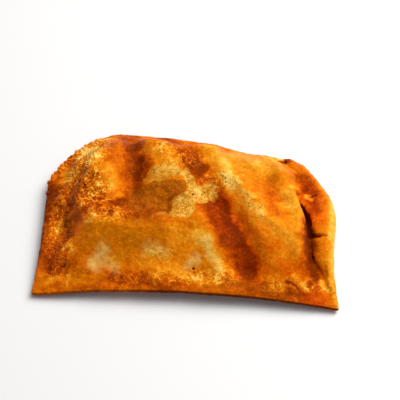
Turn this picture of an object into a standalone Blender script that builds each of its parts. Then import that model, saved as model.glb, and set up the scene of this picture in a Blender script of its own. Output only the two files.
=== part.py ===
"""Fried cheese empanada: one closed turnover of thin dough, puffed and warped in the fryer.

The dough is folded over its filling along the long front edge, and its other edges are
turned over in three folds. It lies flat, its straight edge along X at the front.
Metres, +Z up, with the origin under the middle of its outline, on the surface it rests on.
"""

import math
import random

import bmesh
import bpy
import numpy as np
from mathutils import Matrix, Vector

MM = 0.001

# Sizes below are in millimetres, and every mesh is scaled to metres when it is made.
RIM_THICKNESS = 4.0      # two layers of dough pressed together
MIDDLE_LEVEL = 5.5       # level that the rim's top runs on at, under the filled middle
PUFF_HEIGHT = 14.5       # how far the filled middle stands above that level
REST_REACH = 17.0        # from the outline to where the underside has come down to the table
HOLLOW_HEIGHT = 0.9      # height of the shallow hollows in the underside
MIDDLE = (0.0, -1.0)     # where the loft's rings close, seen from above
RING_PACKING = 1.15      # above 1 the rings lie closer together towards the middle

# Corners of the outline, seen from above, anticlockwise from the front left.
# x, y, height of the rim's underside there, how far the rounding cuts along each edge
RIM_CORNERS = (
    (-76.5, -47.0, 0.0, 1.8),
    (76.0, -46.6, 0.0, 1.6),
    (74.6, 4.0, 2.0, 9.0),
    (63.2, 26.6, 3.6, 9.0),
    (48.8, 39.8, 4.4, 3.5),
    (12.0, 45.6, 6.2, 10.0),
    (-50.0, 49.5, 6.0, 15.0),
    (-76.5, 19.0, 3.0, 5.0),
)
# The edge after each corner: how far it bows outwards, and how far its middle arches up.
RIM_EDGES = (
    (-3.0, 5.0), (-2.6, 1.0), (1.2, 0.0), (1.2, 0.0), (-1.6, -1.6), (1.0, 1.0), (2.4, 0.0), (-1.4, 1.5),
)

# Foot lines of the filled middle, anticlockwise from the front one.
# x, y, x, y, how far the line bows outwards, width of the slope above it
FEET = (
    (-74, -43.5, 72, -43.0, -2.5, 34),
    (69.5, -42, 69, -22, 0.0, 15),
    (61, -24, 56, 10, 0.5, 7),
    (67.5, 6, 58, 25, 0.0, 12),
    (61, 24, 45, 40, 0.5, 14),
    (48, 39.5, 14, 44.5, -1.0, 17),
    (16, 44.5, -50, 48, 0.2, 12),
    (-48, 48, -75, 18.5, 1.0, 17),
    (-74, 17, -71, -42, -2.5, 24),
)

# Ridges (positive) and valleys (negative) of the puffed skin: height, half width, route.
FOLDS = (
    (-5.5, 5.5, ((-36, 46), (-33, 34), (-30, 20), (-31, 9))),
    (-2.6, 2.6, ((-56, 25), (-60, 14), (-62, 2), (-59, -12))),
    (1.6, 5.0, ((3, -8), (11, -20), (19, -34))),
    (-5.5, 8.0, ((13, 4), (20, -8), (26, -22), (32, -36))),
    (-2.6, 3.2, ((24, -3), (29, -15), (34, -30))),
    (2.6, 5.0, ((13, 27), (25, 11), (36, -2), (46, -14))),
    (-2.2, 4.0, ((37, 33), (40, 18), (45, 4))),
    (1.8, 4.0, ((53, 6), (54, -8), (52, -22))),
    (-2.6, 7.0, ((-50, 4), (-32, 0), (-12, 2))),
    (-1.0, 1.5, ((51, 18), (60, 21))),
    (-1.2, 1.6, ((48, 27), (55, 33))),
    (1.4, 1.5, ((53, -38), (59, -42.5))),
    (-1.0, 1.4, ((38, -39), (49, -40), (55, -43))),
    (1.3, 3.0, ((-72, -42), (-58, -43))),
)
# Bulges and hollows: height, x, y, half size along X and along Y.
BULGES = (
    (4.0, -50, 27, 11, 13),
    (3.6, -14, 31, 11, 11),
    (2.6, -26, -17, 26, 12),
    (1.6, -52, -27, 8, 8),
    (-1.6, -38, -33, 8, 5),
    (1.8, 38, -20, 10, 8),
    (1.2, -4, -31, 7, 5),
    (-1.2, 8, -36, 6, 4),
    (-1.4, -17, 8, 11, 6),
    (1.0, 3, 11, 8, 8),
    (1.1, 66, -38, 2.2, 2.2),
    (1.3, 42, -38, 3, 2),
)

# How much of that relief the rim keeps.
RIM_SHARE = 0.25

# Smooth waves that shift the folds sideways, and the low ripples of the skin itself.
WAVER = 1.1
WAVER_LENGTH = 10.0
RIPPLE_HEIGHT = 0.55
RIPPLE_LENGTH = 5.8
FINE_RIPPLE_HEIGHT = 0.25
FINE_RIPPLE_LENGTH = 2.8

# The turned-over hem on the right. Distance along the outline from the front right corner,
# how far the hem reaches inwards, the height of its outer fold and of its free edge.
HEM = (
    (2.0, 3.5, 4.4, 3.0),
    (10.0, 4.8, 7.0, 4.4),
    (16.0, 5.6, 8.6, 5.2),
    (21.5, 7.0, 9.8, 6.0),
    (25.0, 9.5, 10.4, 6.6),
    (30.0, 11.4, 11.2, 7.2),
    (35.2, 12.2, 12.0, 8.0),
    (36.4, 8.0, 12.2, 9.6),
    (37.4, 8.0, 12.3, 10.6),
    (38.6, 12.6, 12.4, 11.0),
    (42.0, 13.2, 12.6, 11.2),
    (50.0, 16.2, 13.0, 11.8),
    (56.0, 19.5, 13.2, 12.0),
    (61.0, 22.0, 13.2, 11.2),
    (66.0, 22.0, 13.2, 9.8),
    (74.0, 18.0, 13.0, 9.6),
    (86.0, 11.0, 12.4, 9.6),
    (96.0, 6.0, 9.6, 8.0),
    (100.0, 4.0, 7.0, 6.0),
)
HEM_THICKNESS = 2.3

# Blisters fused to the edge by the left shoulder.
BEAD_COUNT = 26
BEAD_RADIUS = (0.9, 1.9)

REMESH_STEP = 0.8
CRUST_TRIANGLES = 10600


def smooth_step(x):
    x = np.clip(x, 0, 1)
    return x * x * (3 - 2 * x)


def rounding(start, corner, end):
    """The inner points of a curve from start to end that is pulled towards the corner."""
    t = np.linspace(0, 1, 12)[1:-1, None]
    return start * (1 - t) ** 2 + 2 * corner * t * (1 - t) + end * t**2


def rim_outline(count):
    """Evenly spaced points of the outline, as (x, y, underside height), and how far along each is."""
    runs = []
    ends = RIM_CORNERS[1:] + RIM_CORNERS[:1]
    for start, end, (bow, arch) in zip(RIM_CORNERS, ends, RIM_EDGES):
        a, b = np.array(start[:3]), np.array(end[:3])
        length = np.linalg.norm((b - a)[:2])
        outward = np.array([b[1] - a[1], a[0] - b[0], 0.0]) / length
        share = np.linspace(start[3] / length, 1 - end[3] / length, 50)[:, None]
        hump = 4 * share * (1 - share)
        runs.append(a + (b - a) * share + hump * (outward * bow + np.array([0.0, 0.0, arch])))
    path = []
    for run, following, corner in zip(runs, runs[1:] + runs[:1], ends):
        path += [run, rounding(run[-1], np.array(corner[:3]), following[0])]
    path = np.concatenate([*path, runs[0][:1]])
    along = np.concatenate([[0], np.cumsum(np.linalg.norm(np.diff(path[:, :2], axis=0), axis=1))])
    even = np.linspace(0, along[-1], count, endpoint=False)
    return np.stack([np.interp(even, along, path[:, k]) for k in range(3)], axis=1), even


def outward_normals(path):
    """The outward normal in plan at each point of a closed anticlockwise path."""
    along = np.roll(path[:, :2], -1, axis=0) - np.roll(path[:, :2], 1, axis=0)
    normal = np.stack([along[:, 1], -along[:, 0]], axis=1)
    return normal / np.linalg.norm(normal, axis=1)[:, None]


def inside_of_line(xy, a, b, bow):
    """How far each point lies on the left of a bowed line, its share along it, and how far past its ends."""
    a, b = np.array(a, float), np.array(b, float)
    along = b - a
    length = np.linalg.norm(along)
    place = (xy - a) @ along / length
    share = np.clip(place / length, 0, 1)
    left = np.array([-along[1], along[0]]) / length
    return (xy - a) @ left + bow * 4 * share * (1 - share), share, np.abs(place - share * length)


def rim_fields(xy):
    """The rim's lift, taken from the nearer edges, and a share that is 0 at the rim and 1 inside it."""
    weights = np.zeros(len(xy))
    lift = np.zeros(len(xy))
    inside = np.ones(len(xy))
    for start, end, (bow, arch) in zip(RIM_CORNERS, RIM_CORNERS[1:] + RIM_CORNERS[:1], RIM_EDGES):
        gap, share, _ = inside_of_line(xy, start[:2], end[:2], bow)
        weight = 1 / (np.maximum(gap, 0) + 1.5) ** 2
        lift += weight * (start[2] + (end[2] - start[2]) * share + arch * 4 * share * (1 - share))
        weights += weight
        inside *= smooth_step(gap / REST_REACH)
    return lift / weights, inside


def filled(xy):
    """0 on the rim and 1 over the filled middle, with a soft foot and a rounded top."""
    share = np.ones(len(xy))
    for x1, y1, x2, y2, bow, width in FEET:
        gap, _, past = inside_of_line(xy, (x1, y1), (x2, y2), bow)
        share *= np.sin(np.clip((gap + past) / width, 0, 1) * math.pi / 2) ** 1.5
    return share


def wavered(xy):
    """The points moved a little along smooth waves, so that feet and folds don't run straight."""
    x, y = xy.T / WAVER_LENGTH
    return xy + WAVER * np.stack([
        np.sin(1.1 * y + 0.6) + 0.6 * np.sin(2.3 * y + 0.9 * x),
        np.sin(0.8 * x + 2.1) + 0.6 * np.sin(2.0 * x - 1.1 * y + 1.0),
    ], axis=1)


def distance_to_route(xy, route):
    """The distance in plan from each point to a route of straight runs."""
    best = np.full(len(xy), np.inf)
    for a, b in zip(np.array(route, float)[:-1], np.array(route, float)[1:]):
        share = np.clip(((xy - a) @ (b - a)) / ((b - a) @ (b - a)), 0, 1)
        best = np.minimum(best, np.linalg.norm(xy - a - share[:, None] * (b - a), axis=1))
    return best


def relief(xy):
    """The folds, bulges and hollows of the upper skin."""
    height = np.zeros(len(xy))
    for size, width, route in FOLDS:
        height += size * np.exp(-((distance_to_route(xy, route) / width) ** 2))
    for size, x, y, half_x, half_y in BULGES:
        height += size * np.exp(-(((xy[:, 0] - x) / half_x) ** 2 + ((xy[:, 1] - y) / half_y) ** 2))
    return height


def ripples(xy):
    """Shallow unevenness of the whole skin, from crossing waves that bend each other."""
    x, y = xy.T / RIPPLE_LENGTH
    coarse = np.sin(x + 0.5 * np.sin(1.1 * y)) * np.sin(1.2 * y + 0.7 * np.sin(0.8 * x) + 1.3)
    x, y = xy.T / FINE_RIPPLE_LENGTH
    fine = np.sin(x + 0.7 * y) * np.sin(y - 0.5 * x + 0.4)
    return RIPPLE_HEIGHT * coarse + FINE_RIPPLE_HEIGHT * fine


def top_height(xy):
    lift, inside = rim_fields(xy)
    rim_top = lift + RIM_THICKNESS
    moved = wavered(xy)
    puff = filled(moved)
    level = rim_top + (MIDDLE_LEVEL - rim_top) * inside
    uneven = relief(moved) * (RIM_SHARE + (1 - RIM_SHARE) * puff) + ripples(xy)
    return level + PUFF_HEIGHT * puff + uneven * smooth_step(4 * inside)


def under_height(xy):
    """Up at the rim, and flat on the table further in, round shallow hollows."""
    lift, inside = rim_fields(xy)
    x, y = xy.T / WAVER_LENGTH
    waves = np.sin(1.2 * x + 0.9) * np.sin(1.4 * y + 0.4) + 0.5 * np.sin(2.1 * x)
    return np.maximum(0, lift * (1 - inside) + HOLLOW_HEIGHT * waves * inside)


def crust(segments, top_rings, edge_rings, under_rings):
    """The filled turnover, lofted in rings from the middle of the top round to that of the underside."""
    outline, _ = rim_outline(segments)
    normals = outward_normals(outline)
    radius = RIM_THICKNESS / 2
    inner = outline[:, :2] - normals * radius
    middle = np.array(MIDDLE)
    rings = []
    for k in range(1, top_rings + 1):
        xy = middle + (inner - middle) * (1 - (1 - k / top_rings) ** RING_PACKING)
        rings.append(np.column_stack([xy, top_height(xy)]))
    top_edge = rings[-1][:, 2]
    under_edge = under_height(inner)
    for k in range(1, edge_rings):
        turn = math.pi * k / edge_rings
        xy = inner + normals * radius * math.sin(turn)
        level = (top_edge + under_edge + (top_edge - under_edge) * math.cos(turn)) / 2
        rings.append(np.column_stack([xy, level]))
    for k in range(under_rings, 0, -1):
        xy = middle + (inner - middle) * (1 - (1 - k / under_rings) ** RING_PACKING)
        rings.append(np.column_stack([xy, under_height(xy)]))
    poles = [np.column_stack([middle[None], f(middle[None])]) for f in (top_height, under_height)]
    return closed_loft(rings, poles, "empanada")


def closed_loft(rings, poles, name):
    """A closed mesh of rings of like count, one after the other, with a pole at each end."""
    bm = bmesh.new()
    loops = [[bm.verts.new(Vector(p) * MM) for p in ring] for ring in rings]
    for one, two in zip(loops, loops[1:]):
        for a, b, c, d in zip(one, two, two[1:] + two[:1], one[1:] + one[:1]):
            bm.faces.new((a, b, c, d))
    for pole, loop in ((poles[0], loops[0]), (poles[1], loops[-1])):
        tip = bm.verts.new(Vector(pole[0]) * MM)
        for a, b in zip(loop, loop[1:] + loop[:1]):
            bm.faces.new((tip, a, b))
    bmesh.ops.recalc_face_normals(bm, faces=bm.faces)
    return object_of(bm, name)


def hem_section(reach, fold, free, foot, count):
    """A loop round the hem's section, as (inset from the outline, height).

    It rises out of the rim at its foot, turns over at its fold and comes down to its free edge.
    """
    half = HEM_THICKNESS / 2
    route = np.array([
        (half + 2.0, foot - 2.4),
        (half + 0.2, foot - 1.0),
        (half + 0.1, (foot + fold) / 2),
        (half + 0.5, fold - 2.4),
        (half + 2.0, fold - half),
        (reach / 2, (fold + free) / 2 - 0.6),
        (reach - half, free - half),
    ])
    for _ in range(2):
        quarter = route[:-1] * 0.75 + route[1:] * 0.25
        three = route[:-1] * 0.25 + route[1:] * 0.75
        route = np.concatenate([route[:1], np.stack([quarter, three], axis=1).reshape(-1, 2), route[-1:]])
    steps = np.concatenate([[0], np.cumsum(np.linalg.norm(np.diff(route, axis=0), axis=1))])
    even = np.linspace(0, steps[-1], count)
    line = np.stack([np.interp(even, steps, route[:, k]) for k in range(2)], axis=1)
    ahead = np.gradient(line, axis=0)
    side = np.stack([-ahead[:, 1], ahead[:, 0]], axis=1) / np.linalg.norm(ahead, axis=1)[:, None]
    thick = half * np.sqrt(np.clip(1 - ((even / steps[-1] - 0.5) * 2) ** 12, 0.02, 1))[:, None]
    return np.concatenate([line + side * thick, (line - side * thick)[::-1]])


def hem(stations, count):
    """The strip of dough turned over along the right edge, lofted from station to station."""
    outline, along = rim_outline(900)
    normals = outward_normals(outline)
    corner = along[np.argmin(np.linalg.norm(outline[:, :2] - np.array(RIM_CORNERS[1][:2]), axis=1))]
    table = np.array(HEM)
    rings = []
    for place in np.linspace(table[0, 0], table[-1, 0], stations):
        x, y, lift = (np.interp(corner + place, along, outline[:, k]) for k in range(3))
        inward = -np.array([np.interp(corner + place, along, normals[:, k]) for k in range(2)])
        reach, fold, free = (np.interp(place, table[:, 0], table[:, k]) for k in (1, 2, 3))
        section = hem_section(reach, fold, free, lift + RIM_THICKNESS, count)
        rings.append([(x + inward[0] * i, y + inward[1] * i, h) for i, h in section])
    poles = [[np.mean(ring, axis=0)] for ring in (rings[0], rings[-1])]
    return closed_loft(rings, poles, "hem")


def beads():
    """Round blisters along the edge by the left shoulder."""
    outline, _ = rim_outline(900)
    normals = outward_normals(outline)
    shoulder = np.argmin(np.linalg.norm(outline[:, :2] - np.array(RIM_CORNERS[-1][:2]), axis=1))
    dice = random.Random(5)
    made = []
    for k in range(BEAD_COUNT):
        j = shoulder + 8 - int(k * 2.9 + dice.uniform(-2, 2))
        size = dice.uniform(*BEAD_RADIUS) * (1 - 0.4 * k / BEAD_COUNT)
        x, y = outline[j, :2] - normals[j] * dice.uniform(0.8, 3.4)
        z = outline[j, 2] + RIM_THICKNESS - dice.uniform(0.3, 1.6)
        place = Matrix.Translation(Vector((x, y, z)) * MM)
        bm = bmesh.new()
        bmesh.ops.create_icosphere(bm, subdivisions=2, radius=size * MM, matrix=place)
        made.append(object_of(bm, f"bead_{k}"))
    return made


def object_of(bm, name):
    mesh = bpy.data.meshes.new(name)
    bm.to_mesh(mesh)
    bm.free()
    obj = bpy.data.objects.new(name, mesh)
    home = bpy.data.collections.get("cheese_empanada")
    if home is None:
        home = bpy.data.collections.new("cheese_empanada")
        bpy.context.scene.collection.children.link(home)
    home.objects.link(obj)
    return obj


def fuse(body, extras):
    """Joins the extras to the body in one Boolean union, and removes them."""
    helpers = bpy.data.collections.new("fused")
    bpy.context.scene.collection.children.link(helpers)
    for extra in extras:
        helpers.objects.link(extra)
    union = body.modifiers.new("union", "BOOLEAN")
    union.operation = "UNION"
    union.solver = "MANIFOLD"
    union.operand_type = "COLLECTION"
    union.collection = helpers
    graph = bpy.context.evaluated_depsgraph_get()
    fused = bpy.data.meshes.new_from_object(body.evaluated_get(graph))
    body.modifiers.clear()
    body.data = fused
    for extra in extras:
        bpy.data.objects.remove(extra)
    bpy.data.collections.remove(helpers)


def stand_in_frame(body):
    """Puts the middle of the body's outline over the origin and its lowest point on Z = 0."""
    points = np.array([v.co for v in body.data.vertices])
    low, high = points.min(axis=0), points.max(axis=0)
    middle = Vector(((low[0] + high[0]) / 2, (low[1] + high[1]) / 2, low[2]))
    body.data.transform(Matrix.Translation(-middle))


def even_and_thin(body):
    """Gives the fused body one even skin of faces, and then as few as still hold its form."""
    skin = body.modifiers.new("even_skin", "REMESH")
    skin.mode = "VOXEL"
    skin.voxel_size = REMESH_STEP * MM
    graph = bpy.context.evaluated_depsgraph_get()
    faces = len(body.evaluated_get(graph).data.polygons) * 2
    fewer = body.modifiers.new("fewer_faces", "DECIMATE")
    fewer.ratio = CRUST_TRIANGLES / faces
    fewer.use_collapse_triangulate = True


def fried_dough():
    material = bpy.data.materials.new("fried_dough")
    material.use_nodes = True
    shader = material.node_tree.nodes["Principled BSDF"]
    shader.inputs["Base Color"].default_value = (0.62, 0.22, 0.03, 1)
    shader.inputs["Roughness"].default_value = 0.45
    shader.inputs["Metallic"].default_value = 0.0
    return material


def main():
    for obj in list(bpy.data.objects):
        bpy.data.objects.remove(obj)
    body = crust(segments=300, top_rings=64, edge_rings=8, under_rings=30)
    fuse(body, [hem(stations=130, count=26), *beads()])
    stand_in_frame(body)
    even_and_thin(body)
    body.data.materials.append(fried_dough())
    body.data.shade_smooth()
    return body


if __name__ == "__main__":
    main()
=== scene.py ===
"""Fried cheese empanada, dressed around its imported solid.

One sheet of thin dough folded over cheese, its open edges turned over, fried until it
puffed, blistered and browned unevenly. Shapes and patches are laid out in millimetres,
and MM turns them into metres.
"""

import math

import bmesh
import bpy
import numpy as np
from mathutils import Matrix, Vector, noise


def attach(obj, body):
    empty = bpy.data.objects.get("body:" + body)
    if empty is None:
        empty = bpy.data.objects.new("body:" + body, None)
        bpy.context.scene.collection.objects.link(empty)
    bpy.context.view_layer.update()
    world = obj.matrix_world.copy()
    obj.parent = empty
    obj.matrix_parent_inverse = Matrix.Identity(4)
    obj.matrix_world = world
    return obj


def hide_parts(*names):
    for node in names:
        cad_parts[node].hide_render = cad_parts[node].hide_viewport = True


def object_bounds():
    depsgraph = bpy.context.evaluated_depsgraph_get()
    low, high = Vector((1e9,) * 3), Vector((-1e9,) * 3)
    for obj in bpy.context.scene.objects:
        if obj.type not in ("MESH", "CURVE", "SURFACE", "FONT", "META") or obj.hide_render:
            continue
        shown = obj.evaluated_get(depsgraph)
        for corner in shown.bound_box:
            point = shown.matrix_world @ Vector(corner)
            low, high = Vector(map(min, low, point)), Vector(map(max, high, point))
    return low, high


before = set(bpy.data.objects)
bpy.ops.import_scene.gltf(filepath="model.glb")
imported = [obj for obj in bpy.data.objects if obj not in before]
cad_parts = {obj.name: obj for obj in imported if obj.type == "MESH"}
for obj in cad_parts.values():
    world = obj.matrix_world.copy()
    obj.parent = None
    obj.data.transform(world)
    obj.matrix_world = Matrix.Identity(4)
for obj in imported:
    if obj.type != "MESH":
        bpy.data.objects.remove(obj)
cad_low, cad_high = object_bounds()
MM = 0.001


# Camera. A short telephoto looking down on the table from the folded edge's side,
# a little to the right of square on.
CAMERA_AZIMUTH = 3.5
CAMERA_ELEVATION = 56.0
CAMERA_DISTANCE = 0.620
CAMERA_TARGET = Vector((0.0042, 0.0096, 0.008))
CAMERA_LENS = 108.5
CAMERA_SENSOR = 36.0

camera_data = bpy.data.cameras.new("table_camera")
camera_data.sensor_width = CAMERA_SENSOR
camera_data.lens = CAMERA_LENS
camera = bpy.data.objects.new("table_camera", camera_data)
bpy.context.scene.collection.objects.link(camera)
turn = math.radians(CAMERA_AZIMUTH)
rise = math.radians(CAMERA_ELEVATION)
backwards = Vector((math.sin(turn) * math.cos(rise), -math.cos(turn) * math.cos(rise), math.sin(rise)))
camera.location = CAMERA_TARGET + backwards * CAMERA_DISTANCE
camera.rotation_mode = "QUATERNION"
camera.rotation_quaternion = (-backwards).to_track_quat("-Z", "Y")
bpy.context.scene.camera = camera


# Table and light. A plain white table, a broad soft light from behind on the right that
# rakes across the puffed crust, a weak fill from the front left, and white surroundings.
TABLE_REACH = 1.5
TABLE_GAP = 0.0001
LIT_SPOT = Vector((0, 0, 0.01))
ROOM_BRIGHTNESS = 0.24


def shader_material(name):
    """A new node material, and its tree and Principled shader."""
    material = bpy.data.materials.new(name)
    material.use_nodes = True
    return material, material.node_tree, material.node_tree.nodes["Principled BSDF"]


def srgb(red, green, blue):
    """A colour given as it is seen on screen, 0 to 255, as the shader's linear values."""
    seen = np.array([red, green, blue]) / 255
    linear = np.where(seen <= 0.04045, seen / 12.92, ((seen + 0.055) / 1.055) ** 2.4)
    return (*linear, 1.0)


table_mesh = bpy.data.meshes.new("table")
table_bm = bmesh.new()
bmesh.ops.create_grid(table_bm, x_segments=4, y_segments=4, size=TABLE_REACH)
table_bm.to_mesh(table_mesh)
table_bm.free()
table = bpy.data.objects.new("table", table_mesh)
bpy.context.scene.collection.objects.link(table)
table.location.z = cad_low.z - TABLE_GAP
table_white, _, table_shader = shader_material("table_white")
table_shader.inputs["Base Color"].default_value = (0.90, 0.90, 0.905, 1)
table_shader.inputs["Roughness"].default_value = 0.6
table_mesh.materials.append(table_white)


def softbox(name, place, size, watts, tint):
    """A square light aimed at the middle of the crust."""
    data = bpy.data.lights.new(name, "AREA")
    data.size = size
    data.energy = watts
    data.color = tint
    light = bpy.data.objects.new(name, data)
    bpy.context.scene.collection.objects.link(light)
    light.location = place
    light.rotation_mode = "QUATERNION"
    light.rotation_quaternion = (LIT_SPOT - light.location).to_track_quat("-Z", "Y")


softbox("key_softbox", Vector((0.54, 0.46, 0.84)), 0.70, 11.0, (1.0, 0.98, 0.95))
softbox("top_softbox", Vector((0.1, 0.1, 0.9)), 0.6, 2.6, (1.0, 1.0, 1.0))
softbox("fill_softbox", Vector((-0.5, -0.8, 0.5)), 0.6, 0.15, (1.0, 1.0, 1.0))
world = bpy.data.worlds.new("white_room")
world.use_nodes = True
world.node_tree.nodes["Background"].inputs["Color"].default_value = (1, 1, 1, 1)
world.node_tree.nodes["Background"].inputs["Strength"].default_value = ROOM_BRIGHTNESS
bpy.context.scene.world = world
bpy.context.scene.view_settings.view_transform = "Standard"


# Dough envelope. Wheat dough rolled thin and folded over cheese along the long straight
# front edge. Its rim is two layers pressed flat, and frying has blown up the middle and
# bent the whole into shallow waves. Lengths in this section are millimetres.
RIM_THICKNESS = 4.0
MIDDLE_LEVEL = 5.5      # the upper skin's height inside the rim, before the puff is added
PUFF_HEIGHT = 14.5
REST_REACH = 17.0       # from the outline in to where the underside lies on the table
HOLLOW_HEIGHT = 0.9     # of the underside's shallow waves
LIFT_REACH = 1.5        # how gently one edge's lift passes into the next one's
FOOT_CURVE = 1.5        # above 1, the filled middle starts from the rim with a softer foot
EDGE_STEPS = 50
CORNER_STEPS = 10
MIDDLE = (0.0, -1.0)
RING_PACKING = 1.15     # above 1, the rings stand closer together near the rim

# x, y, height of the rim's underside, rounding; anticlockwise from the front left corner
RIM_CORNERS = (
    (-76.5, -47.0, 0.0, 1.8),
    (76.0, -46.6, 0.0, 1.6),
    (74.6, 4.0, 2.0, 9.0),
    (63.2, 26.6, 3.6, 9.0),
    (48.8, 39.8, 4.4, 3.5),
    (12.0, 45.6, 6.2, 10.0),
    (-50.0, 49.5, 6.0, 15.0),
    (-76.5, 19.0, 3.0, 5.0),
)
# for each edge, how far it bows outwards and how far its middle arches up
RIM_EDGES = (
    (-3.0, 5.0), (-2.6, 1.0), (1.2, 0.0), (1.2, 0.0),
    (-1.6, -1.6), (1.0, 1.0), (2.4, 0.0), (-1.4, 1.5),
)
# foot lines of the filled middle: x, y, x, y, outward bow, width of the slope above
FEET = (
    (-74, -43.5, 72, -43.0, -2.5, 34),
    (69.5, -42, 69, -22, 0.0, 15),
    (62.5, -24, 58.5, 10, 0.5, 6),
    (67.5, 6, 58, 25, 0.0, 12),
    (61, 24, 45, 40, 0.5, 14),
    (48, 39.5, 14, 44.5, -1.0, 17),
    (16, 44.5, -50, 48, 0.2, 12),
    (-48, 48, -75, 18.5, 1.0, 17),
    (-74, 17, -71, -42, -2.5, 24),
)
# ridges and valleys of the skin: height, half width, route
FOLDS = (
    (-5.5, 5.5, ((-36, 46), (-33, 34), (-30, 20), (-31, 9))),
    (-2.6, 2.6, ((-56, 25), (-60, 14), (-62, 2), (-59, -12))),
    (1.6, 5.0, ((3, -8), (11, -20), (19, -34))),
    (-5.5, 8.0, ((13, 4), (20, -8), (26, -22), (32, -36))),
    (-2.6, 3.2, ((24, -3), (29, -15), (34, -30))),
    (2.6, 5.0, ((13, 27), (25, 11), (36, -2), (46, -14))),
    (-2.2, 4.0, ((37, 33), (40, 18), (45, 4))),
    (1.8, 4.0, ((53, 6), (54, -8), (52, -22))),
    (-2.6, 7.0, ((-50, 4), (-32, 0), (-12, 2))),
    (-1.0, 1.5, ((51, 18), (60, 21))),
    (-1.2, 1.6, ((48, 27), (55, 33))),
    (1.4, 1.5, ((53, -38), (59, -42.5))),
    (-1.0, 1.4, ((38, -39), (49, -40), (55, -43))),
    (1.3, 3.0, ((-72, -42), (-58, -43))),
    (-3.4, 3.4, ((61.2, -7), (61.0, -18), (64.5, -28))),
)
# the cleft that the filling leaves beside the turned-over hem: depth, half width, route
CLEFT = (9.0, 2.0, ((54.3, 11.6), (56.6, 7.2), (58.6, 3.0), (60.6, -1.5), (61.4, -6)))
CLEFT_FLOOR = 4.6       # its bottom's height above the table
# bulges and hollows: height, x, y, half size along X and along Y
BULGES = (
    (4.0, -50, 27, 11, 13),
    (3.6, -14, 31, 11, 11),
    (2.6, -26, -17, 26, 12),
    (1.6, -52, -27, 8, 8),
    (-1.6, -38, -33, 8, 5),
    (1.8, 38, -20, 10, 8),
    (1.2, -4, -31, 7, 5),
    (-1.2, 8, -36, 6, 4),
    (-1.4, -17, 8, 11, 6),
    (1.0, 3, 11, 8, 8),
    (1.1, 66, -38, 2.2, 2.2),
    (1.3, 42, -38, 3, 2),
)
RIM_SHARE = 0.25        # how much of that relief reaches out over the flat rim
WAVER = 1.1             # how far feet and folds stray from their lines
WAVER_LENGTH = 10.0
RIPPLE_HEIGHT = 0.55
RIPPLE_LENGTH = 5.8
FINE_RIPPLE_HEIGHT = 0.25
FINE_RIPPLE_LENGTH = 2.8


def smooth_step(x):
    """0 below 0 and 1 above 1, with a soft slope between."""
    x = np.clip(x, 0, 1)
    return x * x * (3 - 2 * x)


def rounding(start, corner, end):
    """Points round a corner, between the ends of the two edges that meet there."""
    t = np.linspace(0, 1, CORNER_STEPS + 2)[1:-1, None]
    return start * (1 - t) ** 2 + 2 * corner * t * (1 - t) + end * t**2


def rim_outline(count):
    """Even points of the outline, as x, y and underside height, and how far along each is."""
    runs = []
    ends = RIM_CORNERS[1:] + RIM_CORNERS[:1]
    for start, end, (bow, arch) in zip(RIM_CORNERS, ends, RIM_EDGES):
        a, b = np.array(start[:3]), np.array(end[:3])
        length = np.linalg.norm((b - a)[:2])
        outward = np.array([b[1] - a[1], a[0] - b[0], 0.0]) / length
        share = np.linspace(start[3] / length, 1 - end[3] / length, EDGE_STEPS)[:, None]
        hump = 4 * share * (1 - share)
        runs.append(a + (b - a) * share + hump * (outward * bow + np.array([0.0, 0.0, arch])))
    path = []
    for run, following, corner in zip(runs, runs[1:] + runs[:1], ends):
        path += [run, rounding(run[-1], np.array(corner[:3]), following[0])]
    path = np.concatenate([*path, runs[0][:1]])
    along = np.concatenate([[0], np.cumsum(np.linalg.norm(np.diff(path[:, :2], axis=0), axis=1))])
    even = np.linspace(0, along[-1], count, endpoint=False)
    return np.stack([np.interp(even, along, path[:, k]) for k in range(3)], axis=1), even


def outward_normals(path):
    """For each point of the outline, which way is straight out from it."""
    along = np.roll(path[:, :2], -1, axis=0) - np.roll(path[:, :2], 1, axis=0)
    normal = np.stack([along[:, 1], -along[:, 0]], axis=1)
    return normal / np.linalg.norm(normal, axis=1)[:, None]


def inside_of_line(xy, a, b, bow):
    """How far each point is left of a bowed line, its share along it, and how far past it."""
    a, b = np.array(a, float), np.array(b, float)
    along = b - a
    length = np.linalg.norm(along)
    place = (xy - a) @ along / length
    share = np.clip(place / length, 0, 1)
    left = np.array([-along[1], along[0]]) / length
    return (xy - a) @ left + bow * 4 * share * (1 - share), share, np.abs(place - share * length)


def rim_fields(xy):
    """The rim's lift, from the nearer edges, and a share that is 0 at the rim and 1 inside."""
    weights = np.zeros(len(xy))
    lift = np.zeros(len(xy))
    inside = np.ones(len(xy))
    for start, end, (bow, arch) in zip(RIM_CORNERS, RIM_CORNERS[1:] + RIM_CORNERS[:1], RIM_EDGES):
        gap, share, _ = inside_of_line(xy, start[:2], end[:2], bow)
        weight = 1 / (np.maximum(gap, 0) + LIFT_REACH) ** 2
        lift += weight * (start[2] + (end[2] - start[2]) * share + arch * 4 * share * (1 - share))
        weights += weight
        inside *= smooth_step(gap / REST_REACH)
    return lift / weights, inside


def filled(xy):
    """0 on the rim and 1 over the filled middle, with a soft foot and a rounded top."""
    share = np.ones(len(xy))
    for x1, y1, x2, y2, bow, width in FEET:
        gap, _, past = inside_of_line(xy, (x1, y1), (x2, y2), bow)
        share *= np.sin(np.clip((gap + past) / width, 0, 1) * math.pi / 2) ** FOOT_CURVE
    return share


def wavered(xy):
    """The points moved a little along smooth waves, so that feet and folds don't run straight."""
    x, y = xy.T / WAVER_LENGTH
    return xy + WAVER * np.stack([
        np.sin(1.1 * y + 0.6) + 0.6 * np.sin(2.3 * y + 0.9 * x),
        np.sin(0.8 * x + 2.1) + 0.6 * np.sin(2.0 * x - 1.1 * y + 1.0),
    ], axis=1)


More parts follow.
